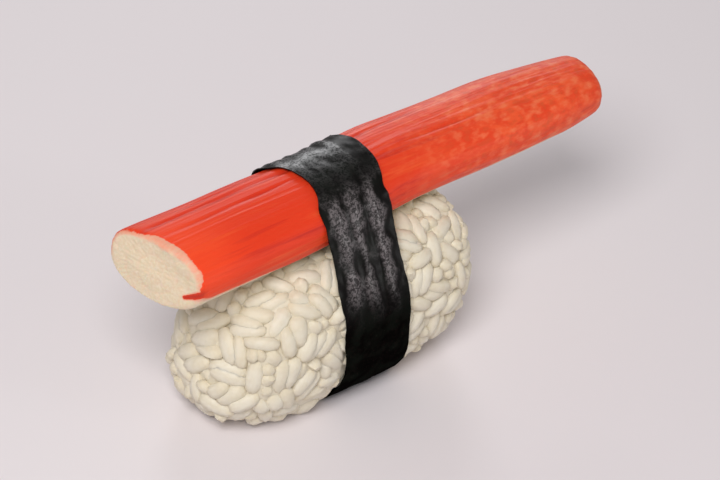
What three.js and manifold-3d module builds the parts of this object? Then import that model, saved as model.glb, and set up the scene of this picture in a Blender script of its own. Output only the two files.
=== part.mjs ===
// Crab nigiri: a block of pressed rice with a stick of surimi crab on top, bound by a strip of nori.
// Millimetres, +Z up. X runs along the crab stick, from its cut end to its far end. The rice stands on z = 0.
import * as THREE from "three";
import { mergeGeometries, mergeVertices } from "three/addons/utils/BufferGeometryUtils.js";
import { MeshSurfaceSampler } from "three/addons/math/MeshSurfaceSampler.js";
import Module from "manifold-3d";

const wasm = await Module();
wasm.setup();

// ---- Driving dimensions -------------------------------------------------------------------------

const CLEARANCE = 0.3; // between the rice, the crab stick and the nori
const CORNER_GRID = 0.01; // corners of the joined rice lie on this grid
const SAME_POINT = 1e-3; // corners that are closer than this are one

const RICE = {
  length: 58, // over the grains
  width: 29.6,
  height: 29.8,
  centre: new THREE.Vector2(-3.9, 0.4), // under the crab stick, before the whole part is centred
  yaw: THREE.MathUtils.degToRad(3), // the block lies at a slight angle to the stick
  squareness: 2.7, // exponent of the block's rounded section: 2 is an ellipse, and more is squarer
  cutEndSquareness: 2.9, // the same for its end under the stick's cut end
  farEndSquareness: 4.6, // and for its other end, which is boxier
  foot: 1.4, // how much of the block's round underside the flat foot takes off
  spread: 0.06, // share by which it is wider at its foot and narrower at its top
  lean: 2.6, // X by which its top leans towards the stick's far end, and its foot away from it
  lumps: 0.025, // share by which hand pressing leaves it uneven
  grainDepth: 1.1, // how far the grains stand out of the core
  waist: 0.6, // how far the nori squeezes the grains
  facets: new THREE.Vector3(8, 5, 5), // of the core, along its length, width and height
};

const GRAIN = {
  halfLength: 3.3,
  halfWidth: 1.5,
  spacing: 3, // least distance between the middles of two grains
  lowest: 0.9, // least Z of a grain's middle on the core
  mostShared: 0.05, // share of a grain that may run into its neighbours
  tilt: 0.3, // most that a grain leans out of the surface, as an angle
  tries: 8, // directions tried for each grain
  candidates: 2500,
  sides: 5,
  rings: 3,
  seed: 41,
};

const STICK = {
  length: 101,
  start: -40.4, // X of its cut end, before the whole part is centred
  offset: 3, // of its axis from the middle of the rice, along Y
  bend: 1.8, // by which its far part lies further along Y
  bendStart: -6, // X between which it bends
  bendEnd: 14,
  halfWidth: 9.6,
  halfHeight: 6.1,
  squareness: 2.35,
  taper: 0.14, // share of its width that it loses evenly towards the far end
  endTaper: 0.2, // share that it loses besides over its last quarter
  thinning: 0.035, // share of its height that it loses towards the cut end
  sink: 0.3, // how far its underside lies below the top of the rice core
  droop: 0.85, // of its cut end, from the rice outwards
  endDroop: 0.6, // of its far end, from the rice outwards
  cutSlant: 0.26, // X by which the cut end leans for each millimetre along Y
  cutTilt: 0.12, // X by which the cut end leans back for each millimetre of height
  endSlant: 0.12, // like cutSlant for the far end, which leans the other way
  cutRounding: 1.2, // radius of the cut end's edge
  endRounding: 2.2, // radius of the far end's edge
  strand: 0.16, // height of the strands that run along it
  sides: 40,
  steps: 22,
  roundedSteps: 3, // of those, the ones within each end's rounding
  roomSteps: 8, // of the simpler shape that the rice is cut with
  seed: 7,
};

const NORI = {
  thickness: 0.5,
  halfWidth: 7.3,
  flare: 2.2, // by which half its width grows on the far side
  middle: -2, // X of the strip's middle
  sway: 1, // by which its middle wanders where it bends over the stick
  swayRate: 4.5, // how fast it wanders there
  drift: 1.2, // X by which its middle lies further along at the foot of the near side
  driftStart: 17, // Z between which it comes to lie there
  driftEnd: 5,
  steady: 23, // Z below which it doesn't follow the stick's bend
  ripple: 0.35, // height of its creases
  creases: [
    { waves: 11, turn: 2.2, share: 0.3 }, // waves round the ring, their turn across it and their share
    { waves: 19, turn: -4, share: 0.2 },
  ],
  edgeRipple: 0.3, // unevenness of its two edges
  edgeWaves: 9,
  room: 0.3, // that the rice leaves it on its outer side, over the usual clearance
  around: 72,
  across: 6,
};

// ---- Small helpers ------------------------------------------------------------------------------

/** A repeatable source of numbers from 0 to 1. */
function seededRandom(seed) {
  let state = seed >>> 0;
  return () => {
    state = (state + 0x6d2b79f5) >>> 0;
    let mixed = state;
    mixed = Math.imul(mixed ^ (mixed >>> 15), mixed | 1);
    mixed ^= mixed + Math.imul(mixed ^ (mixed >>> 7), mixed | 61);
    return ((mixed ^ (mixed >>> 14)) >>> 0) / 4294967296;
  };
}

/** A number raised to a power with its sign kept. */
function signedPower(value, power) {
  return Math.sign(value) * Math.abs(value) ** power;
}

/** The point of a superellipse at an angle round it. */
function superellipse(angle, halfWidth, halfHeight, squareness) {
  return new THREE.Vector2(
    halfWidth * signedPower(Math.cos(angle), 2 / squareness),
    halfHeight * signedPower(Math.sin(angle), 2 / squareness),
  );
}

/** The point of a superellipse that reaches furthest along a direction. */
function furthestPoint(direction, halfWidth, halfHeight, squareness) {
  const dual = squareness / (squareness - 1);
  const across = Math.abs(halfWidth * direction.x);
  const up = Math.abs(halfHeight * direction.y);
  const reach = (across ** dual + up ** dual) ** (1 / dual);
  return new THREE.Vector2(
    Math.sign(direction.x) * halfWidth * (across / reach) ** (dual - 1),
    Math.sign(direction.y) * halfHeight * (up / reach) ** (dual - 1),
  );
}

/** Moves every vertex of a geometry by a function that changes the point it is given. */
function reshape(geometry, move) {
  const position = geometry.getAttribute("position");
  const point = new THREE.Vector3();
  for (let i = 0; i < position.count; i++) {
    move(point.fromBufferAttribute(position, i));
    position.setXYZ(i, point.x, point.y, point.z);
  }
  geometry.deleteAttribute("normal");
  geometry.deleteAttribute("uv");
  return geometry;
}

/** A closed geometry as a solid for joining and cutting. */
function solidOf(geometry) {
  const merged = mergeVertices(geometry, SAME_POINT);
  const mesh = new wasm.Mesh({
    numProp: 3,
    vertProperties: new Float32Array(merged.getAttribute("position").array),
    triVerts: new Uint32Array(merged.index.array),
  });
  return new wasm.Manifold(mesh);
}

/** A solid back as a geometry. */
function geometryOf(solid) {
  const mesh = solid.getMesh();
  const geometry = new THREE.BufferGeometry();
  geometry.setAttribute("position", new THREE.BufferAttribute(new Float32Array(mesh.vertProperties), 3));
  geometry.setIndex(new THREE.BufferAttribute(new Uint32Array(mesh.triVerts), 1));
  geometry.computeVertexNormals();
  return geometry;
}

/** A solid with its corners moved to a fine grid, so that no two of them almost coincide. */
function snapped(solid) {
  const toGrid = (point) => point.divideScalar(CORNER_GRID).round().multiplyScalar(CORNER_GRID);
  return solidOf(reshape(geometryOf(solid), toGrid));
}

/** The largest body of a solid, without scraps that hang on by a corner and voids between grains. */
function largestBody(solid) {
  let bodies = [solid];
  do {
    const largest = bodies.reduce((a, b) => (a.volume() > b.volume() ? a : b));
    bodies = solidOf(geometryOf(largest)).decompose();
  } while (bodies.length > 1);
  return bodies[0];
}

// ---- Crab stick ---------------------------------------------------------------------------------

const riceTop = RICE.height - RICE.grainDepth;
const stickHeight = riceTop - STICK.sink + STICK.halfHeight; // Z of its axis over the rice

/** Half the stick's width and height at X: widest at the cut end, thickest over the rice, tapered far out. */
function stickSection(x) {
  const along = THREE.MathUtils.clamp((x - STICK.start) / STICK.length, 0, 1);
  const size = 1 - STICK.taper * along - STICK.endTaper * Math.max(0, 4 * along - 3) ** 2;
  const thinned = 1 - STICK.thinning * Math.max(0, x / STICK.start) ** 2;
  return { halfWidth: STICK.halfWidth * size, halfHeight: STICK.halfHeight * size * thinned };
}

/** Z of the stick's axis at X: level over the rice, and drooping to both ends. */
function stickAxis(x) {
  const towardsCut = Math.max(0, x / STICK.start);
  const towardsFar = Math.max(0, x / (STICK.start + STICK.length));
  return stickHeight - STICK.droop * towardsCut ** 2 - STICK.endDroop * towardsFar ** 2;
}

/** Y of the stick's axis at X: its far part is bent away. */
function stickOffset(x) {
  return STICK.offset + STICK.bend * THREE.MathUtils.smoothstep(x, STICK.bendStart, STICK.bendEnd);
}

/** How far along the stick one of its rings lies, and how far the rounded ends draw that ring in. */
function stickRing(share, steps, roundedSteps) {
  const rounded = roundedSteps / steps;
  const first = STICK.cutRounding;
  const last = STICK.length - STICK.endRounding;
  if (share < rounded) {
    const angle = (1 - share / rounded) * (Math.PI / 2);
    return { distance: first * (1 - Math.sin(angle)), drawnIn: first * (1 - Math.cos(angle)) };
  }
  if (share > 1 - rounded) {
    const angle = ((share - 1 + rounded) / rounded) * (Math.PI / 2);
    const radius = STICK.endRounding;
    return { distance: last + radius * Math.sin(angle), drawnIn: radius * (1 - Math.cos(angle)) };
  }
  return { distance: THREE.MathUtils.mapLinear(share, rounded, 1 - rounded, first, last), drawnIn: 0 };
}

/** The crab stick, grown by a margin on all sides. Only its ends lean: the middle third is cut square. */
function stickGeometry(margin, steps, roundedSteps) {
  const random = seededRandom(STICK.seed);
  const strands = Array.from({ length: STICK.sides }, () => random() - 0.5);
  const cylinder = new THREE.CylinderGeometry(1, 1, 1, STICK.sides, steps);
  return reshape(cylinder, (point) => {
    const radius = Math.hypot(point.x, point.z);
    const angle = Math.atan2(point.x, point.z);
    const side = Math.round((angle / (2 * Math.PI) + 1) * STICK.sides) % STICK.sides;
    const { distance, drawnIn } = stickRing(point.y + 0.5, steps, roundedSteps);
    const along = distance / STICK.length;
    const x = STICK.start + distance + margin * (2 * along - 1);
    const { halfWidth, halfHeight } = stickSection(x);
    const growth = margin + STICK.strand * strands[side] - drawnIn;
    const outline = superellipse(angle, halfWidth + growth, halfHeight + growth, STICK.squareness);
    outline.multiplyScalar(radius);
    const nearCut = Math.max(0, 1 - 3 * along);
    const nearEnd = Math.max(0, 3 * along - 2);
    const slant = (STICK.endSlant * nearEnd - STICK.cutSlant * nearCut) * outline.x;
    const tilt = STICK.cutTilt * nearCut * (outline.y + halfHeight);
    point.set(x + slant + tilt, stickOffset(x) + outline.x, stickAxis(x) + outline.y);
  });
}

// ---- Nori strip ---------------------------------------------------------------------------------

/** The rice's rounded section where the nori binds it, and Z of the strip's level run underneath. */
const boundRice = {
  halfWidth: RICE.width / 2 - RICE.waist,
  halfHeight: (riceTop + RICE.foot) / 2,
  centre: new THREE.Vector2(RICE.centre.y, (riceTop - RICE.foot) / 2),
  foot: NORI.thickness + CLEARANCE,
};

/** The point of the rice's section, with its flat foot, that reaches furthest along a direction. */
function furthestRicePoint(direction) {
  const { halfWidth, halfHeight, centre, foot } = boundRice;
  const point = furthestPoint(direction, halfWidth, halfHeight, RICE.squareness).add(centre);
  if (point.y >= foot) return point;
  const depth = (centre.y - foot) / halfHeight;
  const footHalfWidth = halfWidth * (1 - depth ** RICE.squareness) ** (1 / RICE.squareness);
  return new THREE.Vector2(centre.x + Math.sign(direction.x) * footHalfWidth, foot);
}

/** The point that a tight strip touches when its outward direction in the YZ plane is the one given. */
function tightPoint(direction) {
  const { halfWidth, halfHeight } = stickSection(NORI.middle);
  const onStick = furthestPoint(direction, halfWidth, halfHeight, STICK.squareness);
  onStick.addScaledVector(direction, STICK.strand / 2);
  onStick.add(new THREE.Vector2(stickOffset(NORI.middle), stickHeight));
  const onRice = furthestRicePoint(direction);
  return onStick.dot(direction) > onRice.dot(direction) ? onStick : onRice;
}

/** The tight strip's whole path, as points at even steps along its length. */
const noriPath = (() => {
  const fine = 1440;
  const points = Array.from({ length: fine }, (_, i) => {
    const angle = (i / fine) * 2 * Math.PI - Math.PI / 2;
    return tightPoint(new THREE.Vector2(Math.cos(angle), Math.sin(angle)));
  });
  const curve = new THREE.CurvePath();
  points.forEach((point, i) => {
    const next = points[(i + 1) % fine];
    if (point.distanceTo(next) > SAME_POINT) curve.add(new THREE.LineCurve(point, next));
  });
  return curve.getSpacedPoints(NORI.around);
})();

/** The outward direction of the strip at one of the path's points. */
function noriOutward(step) {
  const before = noriPath[(step - 1 + NORI.around) % NORI.around];
  const after = noriPath[(step + 1) % NORI.around];
  return new THREE.Vector2(after.y - before.y, before.x - after.x).normalize();
}

/** How much of its drift along X the strip has at a point of its path. It has none on the far side. */
function noriDrift(point) {
  const near = THREE.MathUtils.smoothstep((boundRice.centre.x - point.x) / boundRice.halfWidth, 0, 1);
  return near * (1 - THREE.MathUtils.smoothstep(point.y, NORI.driftEnd, NORI.driftStart));
}

/** How high the creases lift the strip at an angle round it. Under the rice it is pressed flat. */
function noriCrease(angle, across, outward) {
  const free = 1 - THREE.MathUtils.smoothstep(-outward.y, 0.3, 0.9);
  const waves = NORI.creases.map((one) => one.share * Math.sin(one.waves * angle + one.turn * across));
  const wave = waves.reduce((sum, one) => sum + one, 0.5);
  return NORI.ripple * wave * free;
}

/** A closed ring that follows the tight path. Its inner and outer faces are split into triangles alike. */
function ringGeometry({ around, across, inner, outer, widening, creased }) {
  const place = (step, share, lift) => {
    const pathStep = Math.round((step / around) * NORI.around) % NORI.around;
    const outward = noriOutward(pathStep);
    const angle = (2 * Math.PI * pathStep) / NORI.around;
    const rise = lift + (creased ? noriCrease(angle, share, outward) : 0);
    const edge = NORI.edgeRipple * Math.sin(NORI.edgeWaves * angle + 3 * share);
    const halfWidth = NORI.halfWidth + NORI.flare * Math.max(0, outward.x) + edge + widening;
    const sway = NORI.sway * Math.cos(NORI.swayRate * outward.x) + NORI.drift * noriDrift(noriPath[pathStep]);
    const x = NORI.middle + sway + halfWidth * share;
    const beside = (noriPath[pathStep].y - NORI.steady) / (stickHeight - NORI.steady);
    const bend = (stickOffset(x) - stickOffset(NORI.middle)) * THREE.MathUtils.clamp(beside, 0, 1);
    return new THREE.Vector3(
      x,
      noriPath[pathStep].x + bend + outward.x * rise,
      noriPath[pathStep].y + outward.y * rise,
    );
  };
  const face = (rows, placeRow, reversed) => {
    const plane = reshape(new THREE.PlaneGeometry(1, 1, around, rows), (point) => {
      point.copy(placeRow(Math.round((point.x + 0.5) * around), point.y * 2));
    });
    if (reversed) plane.setIndex(Array.from(plane.index.array).reverse());
    return plane;
  };
  const heightAt = (share) => THREE.MathUtils.lerp(inner, outer, (share + 1) / 2);
  return mergeGeometries([
    face(across, (step, share) => place(step, share, outer), false),
    face(across, (step, share) => place(step, share, inner), true),
    face(1, (step, share) => place(step, 1, heightAt(share)), true),
    face(1, (step, share) => place(step, -1, heightAt(share)), false),
  ]);
}

/** The nori strip: one creased sheet that goes all the way round. */
function noriGeometry() {
  return ringGeometry({
    around: NORI.around,
    across: NORI.across,
    inner: CLEARANCE,
    outer: CLEARANCE + NORI.thickness,
    widening: 0,
    creased: true,
  });
}

/** The space round the strip that the rice keeps out of. */
function noriRoomGeometry() {
  return ringGeometry({
    around: NORI.around,
    across: 1,
    inner: 0,
    outer: 2 * CLEARANCE + NORI.thickness + NORI.ripple + NORI.room,
    widening: CLEARANCE,
    creased: false,
  });
}

// ---- Rice ---------------------------------------------------------------------------------------

/** The rounded block that the grains sit on. Its round underside goes below z = 0, where the foot cuts it. */
function riceCoreGeometry() {
  const halfLength = RICE.length / 2 - RICE.grainDepth;
  const halfWidth = RICE.width / 2 - RICE.grainDepth;
  const halfHeight = (RICE.height - RICE.grainDepth + RICE.foot) / 2;
  const block = new THREE.BoxGeometry(2, 2, 2, ...RICE.facets.toArray());
  return reshape(block, (point) => {
    const section = Math.abs(point.y) ** RICE.squareness + Math.abs(point.z) ** RICE.squareness;
    const squareness = point.x < 0 ? RICE.cutEndSquareness : RICE.farEndSquareness;
    const end = Math.abs(point.x) ** squareness;
    point.divideScalar((section ** (squareness / RICE.squareness) + end) ** (1 / squareness));
    const lumps = RICE.lumps * Math.sin(4 * point.x + 2) * Math.sin(3 * point.y + 1) * Math.cos(3 * point.z);
    const size = 1 + lumps - RICE.spread * point.z;
    point.set(
      point.x * halfLength * size + RICE.lean * point.z,
      point.y * halfWidth * size,
      (point.z + 1) * halfHeight - RICE.foot,
    );
    point.applyAxisAngle(new THREE.Vector3(0, 0, 1), RICE.yaw);
    point.add(new THREE.Vector3(RICE.centre.x, RICE.centre.y, 0));
  });
}

/** One grain of rice at the origin, lying along X. */
function grainGeometry() {
  const sphere = new THREE.SphereGeometry(1, GRAIN.sides, GRAIN.rings);
  return reshape(sphere, (point) => {
    point.set(point.y * GRAIN.halfLength, point.z * GRAIN.halfWidth, point.x * GRAIN.halfWidth);
  });
}

/** The space that two solids share. */
function sharedSpace(a, b) {
  return a.intersect(b).volume();
}

/** The grains, spread evenly over the core and each turned to where it fits best beside the others. */
function grainSolids(core, obstacles) {
  const random = seededRandom(GRAIN.seed);
  const surface = new THREE.Mesh(core.clone());
  surface.geometry.computeVertexNormals();
  const sampler = new MeshSurfaceSampler(surface).setRandomGenerator(random).build();
  const grain = solidOf(grainGeometry());
  const mostShared = GRAIN.mostShared * grain.volume();
  const place = new THREE.Vector3();
  const outward = new THREE.Vector3();
  const grains = [];
  for (let i = 0; i < GRAIN.candidates; i++) {
    sampler.sample(place, outward);
    if (place.z < GRAIN.lowest) continue;
    if (grains.some((other) => other.place.distanceTo(place) < GRAIN.spacing)) continue;
    const near = grains.filter((other) => other.place.distanceTo(place) < 2 * GRAIN.halfLength);
    const middle = place.clone().addScaledVector(outward, RICE.grainDepth - GRAIN.halfWidth);
    const firstTurn = random() * Math.PI;
    const tilt = (random() - 0.5) * GRAIN.tilt;
    let best = null;
    for (let attempt = 0; attempt < GRAIN.tries; attempt++) {
      const turn = firstTurn + (attempt / GRAIN.tries) * Math.PI;
      const lie = new THREE.Quaternion().setFromUnitVectors(new THREE.Vector3(0, 0, 1), outward);
      lie.multiply(new THREE.Quaternion().setFromAxisAngle(new THREE.Vector3(0, 0, 1), turn));
      lie.multiply(new THREE.Quaternion().setFromAxisAngle(new THREE.Vector3(0, 1, 0), tilt));
      const matrix = new THREE.Matrix4().compose(middle, lie, new THREE.Vector3(1, 1, 1));
      const solid = grain.transform(matrix.elements);
      if (obstacles.some((obstacle) => sharedSpace(solid, obstacle) > 0)) continue;
      const shared = near.reduce((sum, other) => sum + sharedSpace(solid, other.solid), 0);
      if (shared < (best ? best.shared : mostShared)) best = { place: place.clone(), solid, shared };
    }
    if (best) grains.push(best);
  }
  return grains.map((one) => one.solid);
}

/** The rice: core and grains in one solid, cut clear of the stick and the nori and flat underneath. */
function riceGeometry() {
  const core = riceCoreGeometry();
  const stickRoom = solidOf(stickGeometry(CLEARANCE, STICK.roomSteps, 1));
  const noriRoom = solidOf(noriRoomGeometry());
  const floor = new THREE.BoxGeometry(4 * RICE.length, 4 * RICE.width, RICE.height);
  floor.translate(RICE.centre.x, RICE.centre.y, -RICE.height / 2);
  const below = solidOf(reshape(floor, () => {}));
  const bare = solidOf(core).subtract(stickRoom).subtract(noriRoom);
  const grains = grainSolids(core, [stickRoom, noriRoom]);
  return geometryOf(largestBody(snapped(wasm.Manifold.union([bare, ...grains]).subtract(below))));
}

// ---- The whole part -----------------------------------------------------------------------------

const materials = {
  rice: new THREE.MeshStandardMaterial({ color: 0xe6dfcd, roughness: 0.45, metalness: 0 }),
  crab_stick: new THREE.MeshStandardMaterial({ color: 0xe2492c, roughness: 0.35, metalness: 0 }),
  nori: new THREE.MeshStandardMaterial({ color: 0x10130f, roughness: 0.4, metalness: 0 }),
};

const geometries = {
  rice: riceGeometry(),
  crab_stick: stickGeometry(0, STICK.steps, STICK.roundedSteps),
  nori: noriGeometry(),
};

const nigiri = new THREE.Group();
for (const [name, geometry] of Object.entries(geometries)) {
  const mesh = new THREE.Mesh(geometry, materials[name]);
  mesh.name = name;
  nigiri.add(mesh);
}

// The origin is the middle of the whole part's footprint, on the surface that it stands on.
const box = new THREE.Box3().setFromObject(nigiri);
const middle = box.getCenter(new THREE.Vector3());
nigiri.children.forEach((mesh) => mesh.position.set(-middle.x, -middle.y, -box.min.z));

export default nigiri;
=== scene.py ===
"""The looks of a crab nigiri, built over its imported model.

A stick of surimi crab lies on a block of pressed rice, and a strip of nori binds the two.
Sizes are in millimetres until they reach a mesh. X runs along the stick from its cut end, and Z is up.
"""

import logging
import math
from dataclasses import dataclass, field
from enum import Enum
from typing import Any, Callable, Sequence

import bpy
import numpy as np
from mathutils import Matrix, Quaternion, Vector, noise


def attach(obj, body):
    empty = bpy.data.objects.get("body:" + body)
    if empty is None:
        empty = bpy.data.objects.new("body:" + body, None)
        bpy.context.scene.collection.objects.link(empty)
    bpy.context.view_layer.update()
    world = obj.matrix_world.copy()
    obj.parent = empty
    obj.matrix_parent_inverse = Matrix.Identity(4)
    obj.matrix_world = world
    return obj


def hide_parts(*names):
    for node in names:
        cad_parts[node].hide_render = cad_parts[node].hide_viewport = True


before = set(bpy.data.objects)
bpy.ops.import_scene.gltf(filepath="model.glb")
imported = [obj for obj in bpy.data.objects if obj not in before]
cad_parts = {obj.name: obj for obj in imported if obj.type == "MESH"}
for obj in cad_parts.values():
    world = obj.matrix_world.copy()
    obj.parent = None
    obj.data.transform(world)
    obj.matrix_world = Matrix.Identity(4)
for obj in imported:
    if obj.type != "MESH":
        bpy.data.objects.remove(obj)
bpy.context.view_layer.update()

MM = 0.001
SMOOTH_ANGLE = math.radians(60)  # edges that bend less are shaded smooth
NOISE_GAIN = 1.6  # brings the noise to about -1 to 1
SEED_STEPS = np.array([7.31, 3.17, 5.53])  # how far the noise of one seed lies from that of the next
SLOPE_STEP = 0.02  # over which the slope of a form's level is measured
log = logging.getLogger("crab_nigiri")

Colour = tuple[float, float, float]
Place = tuple[float, float, float]


class Node(Enum):
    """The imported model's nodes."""

    RICE = "rice"
    CRAB_STICK = "crab_stick"
    NORI = "nori"


# ---- Numbers and curves -------------------------------------------------------------------------


def smooth(values: np.ndarray, low: float, high: float) -> np.ndarray:
    """Rises smoothly from 0 to 1 between two values.

    Args:
        values: Where to read the rise.
        low: Below this it is 0. It may be the larger of the two, and then it falls instead.
        high: Beyond this it is 1.

    Returns:
        The rise at each value.
    """
    share = np.clip((np.asarray(values, float) - low) / (high - low), 0.0, 1.0)
    return share * share * (3.0 - 2.0 * share)


def wander(points: np.ndarray, size: Sequence[float], seed: float) -> np.ndarray:
    """Gives smooth random values over space.

    Args:
        points: Places in millimetres, one row each.
        size: About how far the values keep alike along X, Y and Z.
        seed: Picks another set of values.

    Returns:
        One value from about -1 to 1 for each place.
    """
    scaled = np.asarray(points, float) / np.asarray(size, float) + seed * SEED_STEPS
    return np.array([noise.noise(Vector(row)) for row in scaled]) * NOISE_GAIN


@dataclass(frozen=True)
class Layer:
    """One layer of smooth random unevenness: its height, the size of its forms and its seed."""

    height: float
    size: Place
    seed: float


def uneven(points: np.ndarray, layers: Sequence[Layer]) -> np.ndarray:
    """Adds up layers of unevenness at some places."""
    return sum(layer.height * wander(points, layer.size, layer.seed) for layer in layers)


def signed_power(values: np.ndarray, power: float) -> np.ndarray:
    """Raises numbers to a power with their signs kept."""
    return np.sign(values) * np.abs(values) ** power


def unit(vectors: np.ndarray) -> np.ndarray:
    """Gives vectors the length 1."""
    return vectors / np.maximum(np.linalg.norm(vectors, axis=-1, keepdims=True), 1e-9)


def hump(off: np.ndarray, width: float | np.ndarray) -> np.ndarray:
    """Is 1 where the offset is 0, and falls off to both sides within about the width."""
    return np.exp(-((off / width) ** 2))


def read_rows(at: np.ndarray, run: np.ndarray, rows: np.ndarray) -> np.ndarray:
    """Reads rows of numbers between the places along a run at which they are known.

    Args:
        at: Where to read, in the run's own measure.
        run: Where the rows are known, rising.
        rows: One row for each of those.

    Returns:
        One row for each place that is read.
    """
    return np.stack([np.interp(at, run, column) for column in rows.T], axis=1)


def along_and_off(
    points: np.ndarray, first: Sequence[float], last: Sequence[float]
) -> tuple[np.ndarray, np.ndarray]:
    """Measures places against a straight run.

    Args:
        points: The places, one row each.
        first: Where the run starts.
        last: Where it ends.

    Returns:
        How far along the run its nearest point lies, from 0 to 1, and how far off the run each place is.
    """
    start, run = np.array(first), np.array(last) - np.array(first)
    share = np.clip(((points - start) @ run) / (run @ run), 0.0, 1.0)
    return share, np.linalg.norm(points - start - share[:, None] * run, axis=1)


def nearest(first: np.ndarray, second: np.ndarray) -> tuple[np.ndarray, np.ndarray, np.ndarray]:
    """Finds where pairs of straight lines come nearest to each other.

    Args:
        first: The two ends of each pair's first line.
        second: The two ends of its second line.

    Returns:
        The share of the way along each line, and the step from the second to the first there.
    """
    run, other_run = first[:, 1] - first[:, 0], second[:, 1] - second[:, 0]
    between = first[:, 0] - second[:, 0]
    square, other_square = (run**2).sum(axis=1), (other_run**2).sum(axis=1)
    both = (run * other_run).sum(axis=1)
    ahead, other_ahead = (run * between).sum(axis=1), (other_run * between).sum(axis=1)
    apart = np.maximum(square * other_square - both**2, 1e-6)
    share = np.clip((both * other_ahead - ahead * other_square) / apart, 0.0, 1.0)
    other_share = np.clip((both * share + other_ahead) / other_square, 0.0, 1.0)
    share = np.clip((both * other_share - ahead) / square, 0.0, 1.0)
    step = first[:, 0] + run * share[:, None] - second[:, 0] - other_run * other_share[:, None]
    return share, other_share, step


def distance_and_slope(
    level: Callable[[np.ndarray], np.ndarray], points: np.ndarray
) -> tuple[np.ndarray, np.ndarray]:
    """Turns a function that is 1 on a surface into a distance from it.

    Args:
        level: Is 1 on the surface, less inside and more outside.
        points: Places in millimetres, one row each.

    Returns:
        The distance of each place, negative inside, and the outward direction there.
    """
    slope = np.empty_like(points)
    for axis in range(3):
        shift = np.zeros(3)
        shift[axis] = SLOPE_STEP
        slope[:, axis] = (level(points + shift) - level(points - shift)) / (2 * SLOPE_STEP)
    size = np.maximum(np.linalg.norm(slope, axis=1), 1e-6)
    return (level(points) - 1.0) / size, slope / size[:, None]


# ---- Forms that the pieces share ----------------------------------------------------------------


@dataclass(frozen=True)
class StickForm:
    """The crab stick's form: a rounded bar that tapers, bends, droops at both ends and has slanted ends.

    The taper runs over the whole bar, end_taper over its last quarter, the slants over its outer thirds.
    """

    start: float = -49.952
    length: float = 101.0
    level_at: float = -9.552  # X from where it droops to both ends
    offset: float = 2.605
    bend: float = 1.8
    bend_start: float = -15.552
    bend_end: float = 4.448
    height: float = 34.5
    half_width: float = 9.6
    half_height: float = 6.1
    squareness: float = 2.35
    taper: float = 0.14
    end_taper: float = 0.2
    thinning: float = 0.035
    droop: float = 0.85
    end_droop: float = 0.6
    cut_slant: float = 0.26
    cut_tilt: float = 0.12
    end_slant: float = 0.12
    outline_steps: int = 4000

    def along(self, x: np.ndarray) -> np.ndarray:
        """Gives X as a share of the stick's length from its cut end."""
        return np.clip((x - self.start) / self.length, 0.0, 1.0)

    def towards_cut(self, x: np.ndarray) -> np.ndarray:
        """Rises from 0 over the rice to 1 at the cut end."""
        return np.maximum(0.0, (x - self.level_at) / (self.start - self.level_at))

    def half_sizes(self, x: np.ndarray) -> tuple[np.ndarray, np.ndarray]:
        """Gives the stick's size.

        Args:
            x: Places along the stick.

        Returns:
            Half the stick's width and half its height there.
        """
        share = self.along(x)
        size = 1.0 - self.taper * share - self.end_taper * np.maximum(0.0, 4.0 * share - 3.0) ** 2
        thinned = 1.0 - self.thinning * self.towards_cut(x) ** 2
        return self.half_width * size, self.half_height * size * thinned

    def axis(self, x: np.ndarray) -> tuple[np.ndarray, np.ndarray]:
        """Gives the place of the stick's axis.

        Args:
            x: Places along the stick.

        Returns:
            Y and Z of the axis there.
        """
        towards_far = np.maximum(0.0, (x - self.level_at) / (self.start + self.length - self.level_at))
        y = self.offset + self.bend * smooth(x, self.bend_start, self.bend_end)
        return y, self.height - self.droop * self.towards_cut(x) ** 2 - self.end_droop * towards_far**2

    def outline(self, turn: np.ndarray) -> np.ndarray:
        """Gives the section's outline, with even steps along it.

        Args:
            turn: Shares of the way round, from 0 to 1.

        Returns:
            Y and Z of the outline from the axis, as shares of half its width and height.
        """
        angle = np.linspace(0.0, 2 * math.pi, self.outline_steps + 1)
        y = signed_power(np.cos(angle), 2 / self.squareness)
        z = signed_power(np.sin(angle), 2 / self.squareness)
        steps = np.hypot(np.diff(y) * self.half_width, np.diff(z) * self.half_height)
        run = np.concatenate([[0.0], np.cumsum(steps)])
        return read_rows(np.mod(turn, 1.0) * run[-1], run, np.stack([y, z], axis=1))

    def lean(self, x: np.ndarray, y: np.ndarray, z: np.ndarray) -> np.ndarray:
        """Gives how far the slanted ends carry points.

        Args:
            x: X of the points on the plain bar.
            y: Their Y from the axis.
            z: Their Z from the axis.

        Returns:
            How far they move along X.
        """
        along = (x - self.start) / self.length
        near_cut = np.maximum(0.0, 1.0 - 3.0 * along)
        near_end = np.maximum(0.0, 3.0 * along - 2.0)
        from_foot = z + self.half_sizes(x)[1]
        slant = self.end_slant * near_end - self.cut_slant * near_cut
        return slant * y + self.cut_tilt * near_cut * from_foot

    def level(self, points: np.ndarray) -> np.ndarray:
        """Tells places inside the stick from places outside.

        Args:
            points: Places in millimetres, one row each.

        Returns:
            1 on the stick's side, less inside and more outside.
        """
        half_width, half_height = self.half_sizes(points[:, 0])
        y, z = self.axis(points[:, 0])
        across = np.abs((points[:, 1] - y) / half_width)
        up = np.abs((points[:, 2] - z) / half_height)
        return (across**self.squareness + up**self.squareness) ** (1 / self.squareness)


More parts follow.
